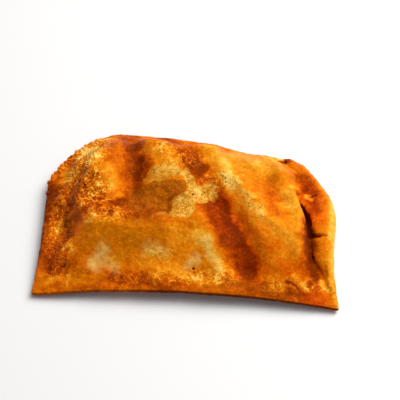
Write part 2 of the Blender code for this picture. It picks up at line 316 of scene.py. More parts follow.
def distance_to_route(xy, route):
    """How far each point is from a line through the route's points."""
    best = np.full(len(xy), np.inf)
    for a, b in zip(np.array(route, float)[:-1], np.array(route, float)[1:]):
        share = np.clip(((xy - a) @ (b - a)) / ((b - a) @ (b - a)), 0, 1)
        best = np.minimum(best, np.linalg.norm(xy - a - share[:, None] * (b - a), axis=1))
    return best


def relief(xy):
    """The folds, bulges and hollows of the upper skin."""
    height = np.zeros(len(xy))
    for size, width, route in FOLDS:
        height += size * np.exp(-((distance_to_route(xy, route) / width) ** 2))
    for size, x, y, half_x, half_y in BULGES:
        height += size * np.exp(-(((xy[:, 0] - x) / half_x) ** 2 + ((xy[:, 1] - y) / half_y) ** 2))
    return height


def ripples(xy):
    """Two sizes of low ripples all over the upper skin."""
    x, y = xy.T / RIPPLE_LENGTH
    coarse = np.sin(x + 0.5 * np.sin(1.1 * y)) * np.sin(1.2 * y + 0.7 * np.sin(0.8 * x) + 1.3)
    x, y = xy.T / FINE_RIPPLE_LENGTH
    fine = np.sin(x + 0.7 * y) * np.sin(y - 0.5 * x + 0.4)
    return RIPPLE_HEIGHT * coarse + FINE_RIPPLE_HEIGHT * fine


def top_height(xy):
    """The upper skin's height: rim, puff, relief and ripples, with the cleft cut in."""
    lift, inside = rim_fields(xy)
    rim_top = lift + RIM_THICKNESS
    moved = wavered(xy)
    puff = filled(moved)
    level = rim_top + (MIDDLE_LEVEL - rim_top) * inside
    uneven = relief(moved) * (RIM_SHARE + (1 - RIM_SHARE) * puff) + ripples(xy)
    height = level + PUFF_HEIGHT * puff + uneven * smooth_step(4 * inside)
    depth, width, route = CLEFT
    cut = height - depth * np.exp(-((distance_to_route(xy, route) / width) ** 4))
    return np.maximum(cut, np.minimum(height, CLEFT_FLOOR))


def under_height(xy):
    """The underside's height: on the table inside, and as high as the rim at the outline."""
    lift, inside = rim_fields(xy)
    x, y = xy.T / WAVER_LENGTH
    waves = np.sin(1.2 * x + 0.9) * np.sin(1.4 * y + 0.4) + 0.5 * np.sin(2.1 * x)
    return np.maximum(0, lift * (1 - inside) + HOLLOW_HEIGHT * waves * inside)


def closed_loft(rings, poles, name):
    """A closed mesh of rings of like count, one after the other, with a pole at each end."""
    bm = bmesh.new()
    loops = [[bm.verts.new(Vector(p) * MM) for p in ring] for ring in rings]
    for one, two in zip(loops, loops[1:]):
        for a, b, c, d in zip(one, two, two[1:] + two[:1], one[1:] + one[:1]):
            bm.faces.new((a, b, c, d))
    for pole, loop in ((poles[0], loops[0]), (poles[1], loops[-1])):
        tip = bm.verts.new(Vector(pole[0]) * MM)
        for a, b in zip(loop, loop[1:] + loop[:1]):
            bm.faces.new((tip, a, b))
    bmesh.ops.recalc_face_normals(bm, faces=bm.faces)
    mesh = bpy.data.meshes.new(name)
    bm.to_mesh(mesh)
    bm.free()
    obj = bpy.data.objects.new(name, mesh)
    bpy.context.scene.collection.objects.link(obj)
    return obj


def envelope(segments, top_rings, edge_rings, under_rings):
    """The filled turnover, in rings from the middle of the top to that of the underside."""
    outline, _ = rim_outline(segments)
    normals = outward_normals(outline)
    radius = RIM_THICKNESS / 2
    inner = outline[:, :2] - normals * radius
    middle = np.array(MIDDLE)
    rings = []
    for k in range(1, top_rings + 1):
        xy = middle + (inner - middle) * (1 - (1 - k / top_rings) ** RING_PACKING)
        rings.append(np.column_stack([xy, top_height(xy)]))
    top_edge = rings[-1][:, 2]
    under_edge = under_height(inner)
    for k in range(1, edge_rings):
        angle = math.pi * k / edge_rings
        xy = inner + normals * radius * math.sin(angle)
        level = (top_edge + under_edge + (top_edge - under_edge) * math.cos(angle)) / 2
        rings.append(np.column_stack([xy, level]))
    for k in range(under_rings, 0, -1):
        xy = middle + (inner - middle) * (1 - (1 - k / under_rings) ** RING_PACKING)
        rings.append(np.column_stack([xy, under_height(xy)]))
    poles = [np.column_stack([middle[None], f(middle[None])]) for f in (top_height, under_height)]
    return closed_loft(rings, poles, "crust")


crust = envelope(segments=520, top_rings=110, edge_rings=12, under_rings=30)


# Turned-over hem. On the right the dough's open edge is folded back over itself into a
# thick lip with a ragged free edge, torn once where it turns the corner.
HEM_THICKNESS = 2.3
# distance along the rim from the front right corner, reach inwards, fold height, free edge height
HEM = (
    (2.0, 3.5, 4.4, 3.0),
    (10.0, 4.8, 7.0, 4.4),
    (16.0, 5.6, 8.6, 5.2),
    (21.5, 8.0, 9.8, 6.8),
    (25.0, 10.2, 10.6, 7.6),
    (30.0, 12.2, 11.4, 8.6),
    (35.6, 13.6, 12.0, 9.6),
    (36.4, 7.0, 12.2, 10.0),
    (37.1, 7.0, 12.3, 10.8),
    (37.8, 12.8, 12.4, 11.4),
    (42.0, 13.2, 12.6, 11.9),
    (50.0, 14.8, 13.0, 12.8),
    (56.0, 16.6, 13.2, 13.8),
    (61.0, 17.2, 13.2, 14.4),
    (66.0, 18.0, 13.2, 13.6),
    (74.0, 16.5, 13.0, 11.0),
    (86.0, 11.0, 12.4, 9.6),
    (96.0, 6.0, 9.6, 8.0),
    (100.0, 4.0, 7.0, 6.0),
)
HEM_RAGGEDNESS = 0.7
HEM_TEETH = (0.55, 1.7)     # how close the free edge's long and short teeth stand
HEM_OUTLINE_POINTS = 1500


def hem_section(reach, fold, free, foot, count):
    """A loop round the hem's section, as (inset from the outline, height)."""
    half = HEM_THICKNESS / 2
    # up from the rim, round the fold, and inwards to the free edge
    route = np.array([
        (half + 2.0, foot - 2.4),
        (half + 0.2, foot - 1.0),
        (half + 0.1, (foot + fold) / 2),
        (half + 0.5, fold - 2.4),
        (half + 2.0, fold - half),
        (reach / 2, (fold + free) / 2 - 0.6),
        (reach - half, free - half),
    ])
    # each pass cuts the route's corners off, which rounds it
    for _ in range(2):
        quarter = route[:-1] * 0.75 + route[1:] * 0.25
        three = route[:-1] * 0.25 + route[1:] * 0.75
        route = np.concatenate([route[:1], np.stack([quarter, three], axis=1).reshape(-1, 2), route[-1:]])
    steps = np.concatenate([[0], np.cumsum(np.linalg.norm(np.diff(route, axis=0), axis=1))])
    even = np.linspace(0, steps[-1], count)
    line = np.stack([np.interp(even, steps, route[:, k]) for k in range(2)], axis=1)
    ahead = np.gradient(line, axis=0)
    side = np.stack([-ahead[:, 1], ahead[:, 0]], axis=1) / np.linalg.norm(ahead, axis=1)[:, None]
    thick = half * np.sqrt(np.clip(1 - ((even / steps[-1] - 0.5) * 2) ** 12, 0.02, 1))[:, None]
    return np.concatenate([line + side * thick, (line - side * thick)[::-1]])


def folded_hem(stations, count):
    """The folded lip, lofted from sections of a given count of points along the right edge."""
    outline, along = rim_outline(HEM_OUTLINE_POINTS)
    normals = outward_normals(outline)
    corner = along[np.argmin(np.linalg.norm(outline[:, :2] - np.array(RIM_CORNERS[1][:2]), axis=1))]
    sizes = np.array(HEM)
    rings = []
    for place in np.linspace(sizes[0, 0], sizes[-1, 0], stations):
        x, y, lift = (np.interp(corner + place, along, outline[:, k]) for k in range(3))
        inward = -np.array([np.interp(corner + place, along, normals[:, k]) for k in range(2)])
        reach, fold, free = (np.interp(place, sizes[:, 0], sizes[:, k]) for k in (1, 2, 3))
        ragged = noise.noise(Vector((place * HEM_TEETH[0], 3.1, 0.0)))
        ragged += 0.5 * noise.noise(Vector((place * HEM_TEETH[1], 7.7, 0.0)))
        reach += HEM_RAGGEDNESS * ragged * min(1.0, reach / 10)
        section = hem_section(reach, fold, free, lift + RIM_THICKNESS, count)
        rings.append([(x + inward[0] * i, y + inward[1] * i, h) for i, h in section])
    poles = [[np.mean(ring, axis=0)] for ring in (rings[0], rings[-1])]
    return closed_loft(rings, poles, "hem")


hem = folded_hem(stations=300, count=44)


# One skin. Crust and hem are the same sheet of dough, so they are joined, given one even
# skin of faces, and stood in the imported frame. The underside, hidden and plain, gets fewer.
SKIN_STEP = 0.5
UNDERSIDE_SLOPE = -0.3      # skin that faces down more than this counts as underside
UNDERSIDE_KEPT = 0.52       # the share of its faces that stay


def finished_mesh(obj):
    """Turns an object and its modifiers into one plain mesh."""
    graph = bpy.context.evaluated_depsgraph_get()
    mesh = bpy.data.meshes.new_from_object(obj.evaluated_get(graph))
    obj.modifiers.clear()
    old = obj.data
    obj.data = mesh
    bpy.data.meshes.remove(old)


def points_of(mesh):
    """The mesh's vertices in millimetres."""
    flat = np.empty(len(mesh.vertices) * 3)
    mesh.vertices.foreach_get("co", flat)
    return flat.reshape(-1, 3) / MM


def normals_of(mesh):
    """Which way the skin faces at each vertex."""
    flat = np.empty(len(mesh.vertices) * 3)
    mesh.vertices.foreach_get("normal", flat)
    return flat.reshape(-1, 3)


join = crust.modifiers.new("join", "BOOLEAN")
join.operation = "UNION"
join.solver = "MANIFOLD"
join.object = hem
even = crust.modifiers.new("even_skin", "REMESH")
even.mode = "VOXEL"
even.voxel_size = SKIN_STEP * MM
finished_mesh(crust)
bpy.data.objects.remove(hem)

points = points_of(crust.data)
low, high = points.min(axis=0), points.max(axis=0)
middle_below = Vector(((low[0] + high[0]) / 2, (low[1] + high[1]) / 2, low[2]))
crust.data.transform(Matrix.Translation(-middle_below * MM))

underside = crust.vertex_groups.new(name="underside")
facing_down = np.nonzero(normals_of(crust.data)[:, 2] < UNDERSIDE_SLOPE)[0]
underside.add([int(i) for i in facing_down], 1.0, "REPLACE")
fewer = crust.modifiers.new("fewer_faces_below", "DECIMATE")
fewer.vertex_group = "underside"
fewer.ratio = UNDERSIDE_KEPT
finished_mesh(crust)
crust.vertex_groups.clear()


# Browning. Frying oil has browned the valleys and the thin rim darkest, left the high soft
# puffs golden, and torn some of the outer skin away, which shows pale dough. Some of the
# dark in the valleys and on the left rim is painted shade, the band beside the hem's lower
# flap is painted shadow, and one flank of the big valley is lightened with painted light.
# Each patch is a route across the top: tone or amount, half width, softness of its edge,
# and points.
SKIN_BASE_TONE = 0.46
UNDERSIDE_TONE = 0.62
UNDERSIDE_CLOUDS = ((0.5, 14.0, 31), (0.3, 5.0, 32))    # strength, size, seed
PATCH_STRENGTH = 0.92
# tones: 0 cream, 0.2 yellow gold, 0.4 gold, 0.6 orange brown, 0.8 red brown, 1 dark brown;
# each patch is laid over those before it
BROWN_PATCHES = (
    # left rim and its crease, dark partly from browning and partly with painted shade, as the left flank
    # faces away from the light
    (0.78, 12, 0.9, ((-72, 10), (-70, 0), (-69, -20), (-67, -36))),
    (0.98, 6, 1.0, ((-74, 10), (-74, 2), (-73, -4))),
    (0.88, 5, 1.0, ((-74, -12), (-73, -26))),
    (0.84, 6, 1.0, ((-68, 10), (-66, 2))),
    (0.82, 11, 0.9, ((-68, -24), (-62, -33))),
    (0.88, 6, 1.0, ((-66, -33), (-58, -34))),
    (0.96, 5.5, 1.0, ((-57, 20), (-58, 12), (-60, 4), (-63, -5), (-61, -18))),
    (0.94, 9, 0.9, ((-58, 4), (-50, 3), (-42, -4))),
    (0.30, 5, 1.0, ((-42, 8), (-38, 2))),
    (0.42, 5, 1.0, ((-72, -38), (-66, -42))),
    (0.50, 5, 1.0, ((-67, -10), (-66, -17))),
    (0.34, 3.5, 1.0, ((-59, -22), (-57, -27))),
    # upper left bulge
    (0.54, 13, 0.9, ((-60, 36), (-48, 42), (-52, 26))),
    (0.30, 6, 1.0, ((-54, 34), (-51, 22))),
    (0.86, 5.6, 1.0, ((-64, 30), (-59, 23))),
    (0.16, 4.6, 1.0, ((-57.4, 33.6), (-56, 29))),
    (0.60, 5, 1.0, ((-44, 34), (-42, 20))),
    (0.18, 6.0, 1.0, ((-43, 15), (-38, 8), (-36, 1))),
    (0.82, 7, 1.0, ((-57, 14), (-47, 12))),
    (0.72, 5, 1.0, ((-51, 9), (-46, 7))),
    # top valley and the band below it
    (0.72, 8, 0.9, ((-36, 44), (-33, 30), (-30, 12))),
    (0.92, 6.5, 1.0, ((-31, 36), (-28, 25), (-26, 15))),
    (0.80, 5, 1.0, ((-25, 24), (-22, 16))),
    (0.88, 12, 0.8, ((-36, 1), (-12, -2))),
    (0.86, 5, 1.0, ((-27, 8), (-24, 3))),
    (0.80, 7, 1.0, ((-58, -6), (-38, -8), (-14, -9))),
    (0.34, 6.0, 1.0, ((-49, -12), (-46, -18))),
    (0.56, 5, 1.0, ((-14, -13), (0, -14))),
    # large front puff
    (0.50, 10, 0.9, ((-46, -20), (-14, -20))),
    (0.52, 8, 1.0, ((-34, -26), (-30, -36))),
    (0.26, 7, 1.0, ((-41, -29), (-35, -32))),
    (0.32, 7, 1.0, ((-20, -31), (-2, -31))),
    (0.56, 7, 1.0, ((-56, -37), (-36, -37))),
    (0.88, 6.5, 0.9, ((-36, -39), (-20, -40))),
    (0.66, 5, 0.9, ((-46, -42), (-38, -42))),
    (0.82, 6, 0.9, ((-18, -42), (-2, -42))),
    (0.64, 3.5, 0.9, ((-70, -45.5), (-20, -44.5))),
    (0.62, 6, 0.9, ((0, -43), (30, -44))),
    (0.34, 7, 1.0, ((-8, -19), (2, -22))),
    # back
    (0.34, 7, 1.0, ((-24, 32), (-16, 24), (-10, 21))),
    (0.78, 8, 0.9, ((-16, 44), (-10, 35), (0, 30))),
    (0.54, 9, 1.0, ((-6, 34), (6, 44))),
    (0.90, 8.5, 0.9, ((-5, 26), (2, 19), (8, 16))),
    (0.30, 5, 0.9, ((-14, 24), (-8, 23))),
    (0.50, 6, 1.0, ((6, 24), (10, 18))),
    (0.76, 5.5, 0.9, ((7, 16), (12, 13), (18, 11))),
    (0.24, 9, 0.9, ((8, 36), (14, 22), (20, 14))),
    (0.24, 12, 0.9, ((22, 32), (38, 24))),
    (0.36, 8, 1.0, ((40, 34), (42, 24))),
    (0.90, 4, 1.0, ((3, 24), (5, 20))),
    (0.30, 8, 1.0, ((24, 42), (36, 40))),
    (0.20, 3, 1.0, ((39, 40), (42, 30))),
    (0.86, 3.0, 1.0, ((44, 34), (49, 36))),
    (0.05, 2.2, 1.0, ((44, 37.5), (49, 39.5))),
    # big valley and its two flanks; the dark strip along the valley's right wall is partly painted shade
    (0.12, 4.5, 1.0, ((6.5, -16), (9, -20), (13, -26), (17.5, -33))),
    (0.14, 4.0, 1.0, ((3, -18), (8, -21))),
    (0.84, 3.5, 1.0, ((20.5, -38), (18.5, -40))),
    (0.84, 10, 0.6, ((12, 2), (16, -7), (23, -17), (31, -29))),
    (0.92, 6, 1.0, ((17, 1), (21, -8), (28, -18), (33, -30))),
    (0.32, 8.0, 1.0, ((23, 7), (29.2, -6), (36.5, -18), (42, -27))),
    (0.03, 6.6, 1.0, ((17.4, 24), (19.6, 15), (24.4, 7.4), (31.6, -1.6), (39.6, -10.6), (47.6, -18.6))),
    (0.24, 9, 1.0, ((38, -12), (50, -20), (44, -28))),
    # right side
    (0.36, 9, 1.0, ((22, 24), (28, 13), (34, 2))),
    (0.60, 6, 1.0, ((40, 17), (40, 6), (43, -4))),
    (0.22, 6, 1.0, ((38, 34), (44, 30))),
    (0.28, 7, 1.0, ((50, 14), (49, 2), (54, -10))),
    (0.44, 6, 1.0, ((49, 30), (53, 22))),
    (0.66, 5, 1.0, ((60, 24), (64, 14))),
    (0.30, 8, 1.0, ((44, -13), (52, -22))),
    (0.46, 6, 1.0, ((40, -32), (56, -32))),
    (0.76, 5, 1.0, ((56, 24), (61.5, 15))),
    (0.80, 6, 0.9, ((59, 14), (63, 5))),
    (0.26, 4.0, 1.0, ((60, 31), (67, 20), (72, 8))),
    (0.05, 2.4, 1.0, ((58.5, 11.5), (60.5, 9.5))),
    (0.26, 4.0, 1.0, ((50, 12), (52.5, 6), (54.5, -1), (55, -13))),
    # dark band beside the hem's lower flap: painted shadow of the flap
    (0.98, 6.6, 0.9, ((60.5, -10), (60.5, -18), (62, -27), (64, -32))),
    (0.42, 5, 1.0, ((66, -10), (68, -24))),
    (0.10, 5, 0.9, ((72.5, 8), (72.5, -10), (74, -40))),
    (0.80, 6, 0.9, ((32, -43), (50, -43), (62, -43))),
    (0.60, 6, 1.0, ((64, -43), (69, -46))),
    (0.74, 5, 1.0, ((20, -39), (38, -38))),
    (0.16, 2.8, 1.0, ((54, -33.5), (60, -38.5))),
    (0.22, 3.0, 1.0, ((65.6, -37.4), (67, -33.6))),
    (0.84, 2.6, 1.0, ((61.6, -35.8), (63.8, -38.6))),
    (0.98, 1.8, 1.0, ((49, -37), (58, -41.5))),
    # lighter band down the far flank of the big valley: painted light on that slope
    (0.22, 6.5, 1.0, ((37, -8), (44, -15), (52, -25))),
    (0.20, 5, 1.0, ((48, 8), (50, 0))),
    (0.34, 5.5, 1.0, ((-42, 11), (-38, 6))),
    (0.24, 5.5, 1.0, ((74, -34), (76, -46))),
)
OCHRE_PATCHES = (
    (1.0, 14, 0.9, ((-44, -20), (-16, -20))),
    (1.0, 14, 0.9, ((20, 30), (40, 22))),
    (0.7, 8, 0.9, ((8, -39), (44, -39))),
    (0.7, 8, 1.0, ((-70, -40), (-44, -40))),
    (1.0, 10, 0.9, ((-20, 8), (-14, 2))),
    (0.8, 14, 0.9, ((0, -14), (10, -30))),
    (0.7, 8, 0.9, ((-62, -10), (-60, -34))),
    (0.15, 10, 0.9, ((-48, 24), (-52, 34))),
)
SCRAPED_PATCHES = (
    (0.72, 8.0, 0.9, ((-18, 17), (-13, 18.5), (-6, 17.5))),
    (0.56, 6.0, 0.9, ((-23, 13), (-18, 13))),
    (0.9, 4.8, 0.8, ((-4, 16), (-1, 12), (0.5, 7))),
    (1.0, 9.5, 0.7, ((-3, 0), (-4, -4))),
    (1.0, 7.0, 0.7, ((0, 3.4), (5, 6), (9.2, 9))),
    (0.46, 4.4, 0.9, ((17.5, 23), (20, 15), (24.5, 7), (31, -1.5))),
    (0.62, 4.0, 0.9, ((-17, -9.5), (-10, -8.5))),
    (0.46, 4.0, 0.9, ((-26, -13), (-18, -11))),
    (0.44, 4.0, 0.9, ((-57, 4), (-50, 6), (-43, 7))),
    (0.52, 4.5, 0.9, ((33, 0), (37, -9))),
    (0.52, 3.5, 0.9, ((-66, -40), (-56, -39))),
    (0.50, 3.5, 0.9, ((-50, 36), (-52, 24))),
    (0.48, 3.5, 0.9, ((-18, -36), (-14, -42))),
)
GLASSY_PATCHES = (
    (1.0, 5.8, 0.5, ((-19, 5.5), (-12, 8.5))),
    (1.0, 4.6, 0.5, ((-12, 9), (-7, 8))),
    (1.0, 6.2, 0.5, ((-20, 1), (-15, -1))),
    (0.8, 8.0, 0.8, ((-28, 5), (-26, -3))),
)
GREY_PATCHES = (
    (1.0, 5.5, 1.0, ((-45, -32), (-41, -27))),
    (0.6, 4.0, 1.0, ((-39, -31), (-35, -34))),
    (0.5, 4.5, 1.0, ((-20, -25), (-12, -27))),
    (0.8, 4.5, 1.0, ((2, -31), (5, -29))),
    (0.6, 3.6, 1.0, ((9, -21), (12.5, -26), (16.5, -32))),
)
REDDENED_PATCHES = (
    (1.0, 15, 0.9, ((16, 2), (24, -14), (34, -30))),
    (1.0, 12, 0.9, ((34, -12), (44, -24), (52, -30))),
    (1.0, 9, 0.9, ((22, 5), (30, -8), (40, -22))),
    (0.9, 8, 0.9, ((60, 16), (63, 0))),
    (1.0, 8, 0.9, ((60, -44), (66, -45))),
    (0.8, 10, 0.9, ((-62, -20), (-64, -34))),
    (0.6, 8, 0.9, ((-50, -8), (-56, -14))),
)
PEBBLY_PATCHES = (
    (1.0, 18, 0.9, ((-54, 38), (-58, 20), (-50, 4))),
    (0.7, 12, 0.9, ((-66, 4), (-66, -16), (-62, -36))),
    (0.8, 8, 0.9, ((-34, -8), (-50, -10))),
    (0.6, 9, 0.9, ((-18, 34), (-8, 26), (2, 26))),
    (0.7, 6, 0.9, ((8, 15), (22, 13))),
    (0.4, 5, 0.9, ((-18, 18), (-6, 18))),
    (0.5, 6, 0.9, ((-20, -26), (-11, -27))),
    (0.45, 7, 0.9, ((-34, -40), (-4, -38))),
    (0.7, 7, 0.9, ((-2, -38), (22, -36))),
    (0.5, 7, 0.9, ((40, -38), (68, -37))),
    (0.5, 5, 0.9, ((28, 6), (36, -6))),
)
# small holes through the outer skin: x, y, radius, depth
PITS = (
    (43.4, 33.6, 0.7, 0.7), (45.2, 34.8, 0.7, 0.8), (47.6, 35.4, 0.8, 0.8), (50.2, 35.4, 0.6, 0.7),
    (63, 12.4, 0.7, 0.8), (60.4, 10.8, 0.5, 0.6), (1, 5, 0.9, 0.6), (7, 3, 0.45, 0.5),
    (9, 5, 0.4, 0.4), (11, 11, 0.4, 0.4), (17, 13, 0.5, 0.5), (15, 16, 0.5, 0.5),
    (3.5, -33, 0.6, 0.9), (61.5, 11.5, 0.7, 0.8), (22, -38, 0.5, 0.4), (-67, -10, 0.8, 0.4),
    (-25, 30, 0.4, 0.4), (-2.5, 7, 0.5, 0.5), (-5, -4, 0.4, 0.4),
)
# size and reach of the waves that ruffle every patch's edge
SKIN_WARP = ((7.0, 2.2), (2.2, 1.0), (0.9, 0.35))
FRONT_EDGE_Y = -42.0        # in front of this the skin bends over the folded edge
FRONT_EDGE_LIGHT = 0.14     # how much paler the edge's upper bend is
UNDER_EDGE_PAINTED_SHADE = 0.9           # how far painted shade takes the skin towards dark brown where it turns under
CLEFT_SHADE_WIDTH = 3.2


def cloud(points, size, seed):
    """Smooth noise at each point, about -0.5 to 0.5."""
    shift = Vector((seed * 7.3, seed * 3.1, seed * 1.7))
    return np.array([noise.noise(Vector(p) / size + shift) for p in points.tolist()])


def ruffled(points):
    """The points' places seen from above, pushed about so that patches get ragged edges."""
    xy = points[:, :2].copy()
    for k, (size, reach) in enumerate(SKIN_WARP):
        xy[:, 0] += reach * cloud(points, size, 2 * k + 1)
        xy[:, 1] += reach * cloud(points, size, 2 * k + 2)
    return xy


def patch_cover(xy, half_width, softness, route):
    """1 in a patch and 0 outside it; the softness is the share of the half width that fades."""
    return smooth_step((1 - distance_to_route(xy, route) / half_width) / softness)


def covered(xy, patches):
    """How much of a finish lies at each point, 0 to 1."""
    cover = np.zeros(len(xy))
    for amount, half_width, softness, route in patches:
        cover = np.maximum(cover, amount * patch_cover(xy, half_width, softness, route))
    return cover


def store_field(mesh, name, values):
    """Stores a number for each vertex, which materials and Geometry Nodes read by its name."""
    mesh.attributes.new(name, "FLOAT", "POINT").data.foreach_set("value", values.astype(np.float32))


def dress_skin(mesh):
    """Stores on the mesh what the frying did at each vertex, and where light and shade are painted."""
    points, facing = points_of(mesh), normals_of(mesh)
    xy = ruffled(points)
    x, y, z = points.T
    top = smooth_step((facing[:, 2] + 0.25) / 0.4)

    tone = np.full(len(xy), SKIN_BASE_TONE)
    for goal, half_width, softness, route in BROWN_PATCHES:
        tone += (goal - tone) * PATCH_STRENGTH * patch_cover(xy, half_width, softness, route)
    plain_under = UNDERSIDE_TONE
    for strength, size, seed in UNDERSIDE_CLOUDS:
        plain_under = plain_under + strength * cloud(points, size, seed)
    tone = tone * top + plain_under * (1 - top)

    # the front edge is paler along its upper bend. Painted shade darkens it where it turns under,
    # more so towards the right, and darkens the low steep sides except on the right; on those
    # sides it is partly the fried edge's own browning too.
    at_front = smooth_step((FRONT_EDGE_Y - y) / 3)
    tone -= FRONT_EDGE_LIGHT * at_front * np.exp(-(((facing[:, 2] - 0.80) / 0.08) ** 2))
    low_side = smooth_step((0.30 - facing[:, 2]) / 0.3) * smooth_step((7 - z) / 3)
    low_side *= smooth_step((70 - x) / 4)
    front_side = smooth_step((0.68 - facing[:, 2]) / 0.30) * smooth_step((-0.3 - facing[:, 1]) / 0.3)
    under_front = front_side * at_front * (0.35 + 0.65 * smooth_step((x + 40) / 40))
    tone += (1.0 - tone) * UNDER_EDGE_PAINTED_SHADE * np.maximum(low_side * 0.7, under_front)

    # painted shade low in the cleft beside the hem, stored with that under the front edge as "shaded"
    in_cleft = patch_cover(points[:, :2], CLEFT_SHADE_WIDTH, 0.5, CLEFT[2])
    in_cleft *= smooth_step((7.5 - z) / 3)
    pit = np.zeros(len(xy))
    for pit_x, pit_y, radius, depth in PITS:
        gap = np.linalg.norm(points[:, :2] - (pit_x, pit_y), axis=1) / radius
        pit = np.maximum(pit, depth * np.exp(-gap**4))

    fields = {
        "browning": tone,
        "ochre": covered(xy, OCHRE_PATCHES) * top,
        "scraped": covered(xy, SCRAPED_PATCHES) * top,
        "glassy": covered(xy, GLASSY_PATCHES) * top,
        "grey": covered(xy, GREY_PATCHES) * top,
        "reddened": covered(xy, REDDENED_PATCHES) * top,
        "pebbly": np.maximum(covered(xy, PEBBLY_PATCHES) * top, 0.15),
        "pit": pit * top,
        "shaded": np.maximum(in_cleft, 0.75 * under_front),
    }
    for name, values in fields.items():
        if name in mesh.attributes:
            mesh.attributes.remove(mesh.attributes[name])
        store_field(mesh, name, values)


dress_skin(crust.data)


# Fried relief. The thin skin is pebbled with tiny blisters where the fat boiled under it,
# finely wrinkled elsewhere, and a fraction of a millimetre lower where it has torn away.
RELIEF_SIZES = {
    "Blister Size": 1.7 * MM,
    "Blister Height": 0.75 * MM,
    "Wrinkle Size": 2.6 * MM,
    "Wrinkle Height": 0.45 * MM,
    "Swell Size": 8.0 * MM,
    "Swell Height": 0.5 * MM,
    "Scrape Depth": 0.40 * MM,
}


def put(tree, kind, inputs=None, **settings):
    """A node with its settings, and its inputs linked or set; a key is a socket's name or number."""
    made = tree.nodes.new(kind)
    for name, value in settings.items():
        setattr(made, name, value)
    for key, value in (inputs or {}).items():
        if isinstance(value, bpy.types.NodeSocket):
            tree.links.new(value, made.inputs[key])
        else:
            made.inputs[key].default_value = value
    return made


def maths(tree, operation, *values):
    """The result of one operation on sockets or numbers."""
    return put(tree, "ShaderNodeMath", dict(enumerate(values)), operation=operation).outputs[0]


def plus(tree, one, two):
    """The sum of two sockets or numbers."""
    return maths(tree, "ADD", one, two)


def times(tree, one, two):
    """The product of two sockets or numbers."""
    return maths(tree, "MULTIPLY", one, two)


def mapped(tree, value, from_low, from_high, to_low, to_high):
    """The value carried from one range to another, and held at the second one's ends."""
    return put(tree, "ShaderNodeMapRange", {
        "Value": value, "From Min": from_low, "From Max": from_high, "To Min": to_low, "To Max": to_high,
    }).outputs["Result"]


def swing(tree, wave):
    """Noise, which keeps to the middle of 0 to 1, spread to about -0.5 to 0.5."""
    return mapped(tree, wave, 0.2, 0.8, -0.5, 0.5)


def geometry_tree(name, sizes):
    """A Geometry Nodes tree with one geometry in and out, and a named number for each size."""
    tree = bpy.data.node_groups.new(name, "GeometryNodeTree")
    tree.interface.new_socket("Geometry", in_out="INPUT", socket_type="NodeSocketGeometry")
    tree.interface.new_socket("Geometry", in_out="OUTPUT", socket_type="NodeSocketGeometry")
    for size, value in sizes.items():
        kind = "NodeSocketInt" if isinstance(value, int) else "NodeSocketFloat"
        tree.interface.new_socket(size, in_out="INPUT", socket_type=kind).default_value = value
    return tree, tree.nodes.new("NodeGroupInput"), tree.nodes.new("NodeGroupOutput")


def use_tree(obj, tree, sizes):
    """Adds the tree to the object, with its sizes set by their sockets' identifiers."""
    modifier = obj.modifiers.new(tree.name, "NODES")
    modifier.node_group = tree
    for item in tree.interface.items_tree:
        if item.item_type == "SOCKET" and item.in_out == "INPUT" and item.name in sizes:
            modifier[item.identifier] = sizes[item.name]


def field_of(tree, name):
    """A number stored on the mesh by that name."""
    read = put(tree, "GeometryNodeInputNamedAttribute", {"Name": name}, data_type="FLOAT")
    return read.outputs["Attribute"]


relief_tree, sizes_in, shape_out = geometry_tree("fried_relief", RELIEF_SIZES)
place = relief_tree.nodes.new("GeometryNodeInputPosition").outputs[0]
outward = relief_tree.nodes.new("GeometryNodeInputNormal").outputs[0]


def texture_at(size_name):
    """Where to read a texture, and at which scale, to give it the named size."""
    return {"Vector": place, "Scale": maths(relief_tree, "DIVIDE", 1.0, sizes_in.outputs[size_name])}


def waves_of(size_name, detail):
    """Noise of the named size."""
    inputs = {**texture_at(size_name), "Detail": detail}
    return put(relief_tree, "ShaderNodeTexNoise", inputs).outputs[0]


def lift_by(share, height_name):
    """How far a form lifts the skin: its share at each point times its named height."""
    return times(relief_tree, share, sizes_in.outputs[height_name])


# a dome in each cell, lower where the swell noise is low
cells = put(relief_tree, "ShaderNodeTexVoronoi", texture_at("Blister Size"), feature="SMOOTH_F1")
dome = mapped(relief_tree, cells.outputs["Distance"], 0.15, 0.75, 1.0, 0.0)
sparse = mapped(relief_tree, waves_of("Swell Size", 1.0), 0.38, 0.62, 0.25, 1.0)
pebbles = times(relief_tree, times(relief_tree, dome, sparse), field_of(relief_tree, "pebbly"))
lifts = (
    lift_by(pebbles, "Blister Height"),
    lift_by(swing(relief_tree, waves_of("Wrinkle Size", 3.0)), "Wrinkle Height"),
    lift_by(swing(relief_tree, waves_of("Swell Size", 2.0)), "Swell Height"),
    times(relief_tree, lift_by(field_of(relief_tree, "scraped"), "Scrape Depth"), -1.0),
    times(relief_tree, field_of(relief_tree, "pit"), -MM),
)
total = lifts[0]
for lift in lifts[1:]:
    total = plus(relief_tree, total, lift)
stored = put(relief_tree, "GeometryNodeStoreNamedAttribute", {
    "Geometry": sizes_in.outputs["Geometry"], "Name": "blister", "Value": pebbles,
})
offset = put(relief_tree, "ShaderNodeVectorMath", {0: outward, "Scale": total}, operation="SCALE")
moved = put(relief_tree, "GeometryNodeSetPosition", {
    "Geometry": stored.outputs[0], "Offset": offset.outputs[0],
})
relief_tree.links.new(moved.outputs[0], shape_out.inputs[0])
use_tree(crust, relief_tree, RELIEF_SIZES)
finished_mesh(crust)

# what the relief pushed below the table lies flat on it
floor_points = points_of(crust.data)
floor_points[:, 2] = np.maximum(floor_points[:, 2], 0)
crust.data.vertices.foreach_set("co", (floor_points * MM).ravel())
crust.data.update()


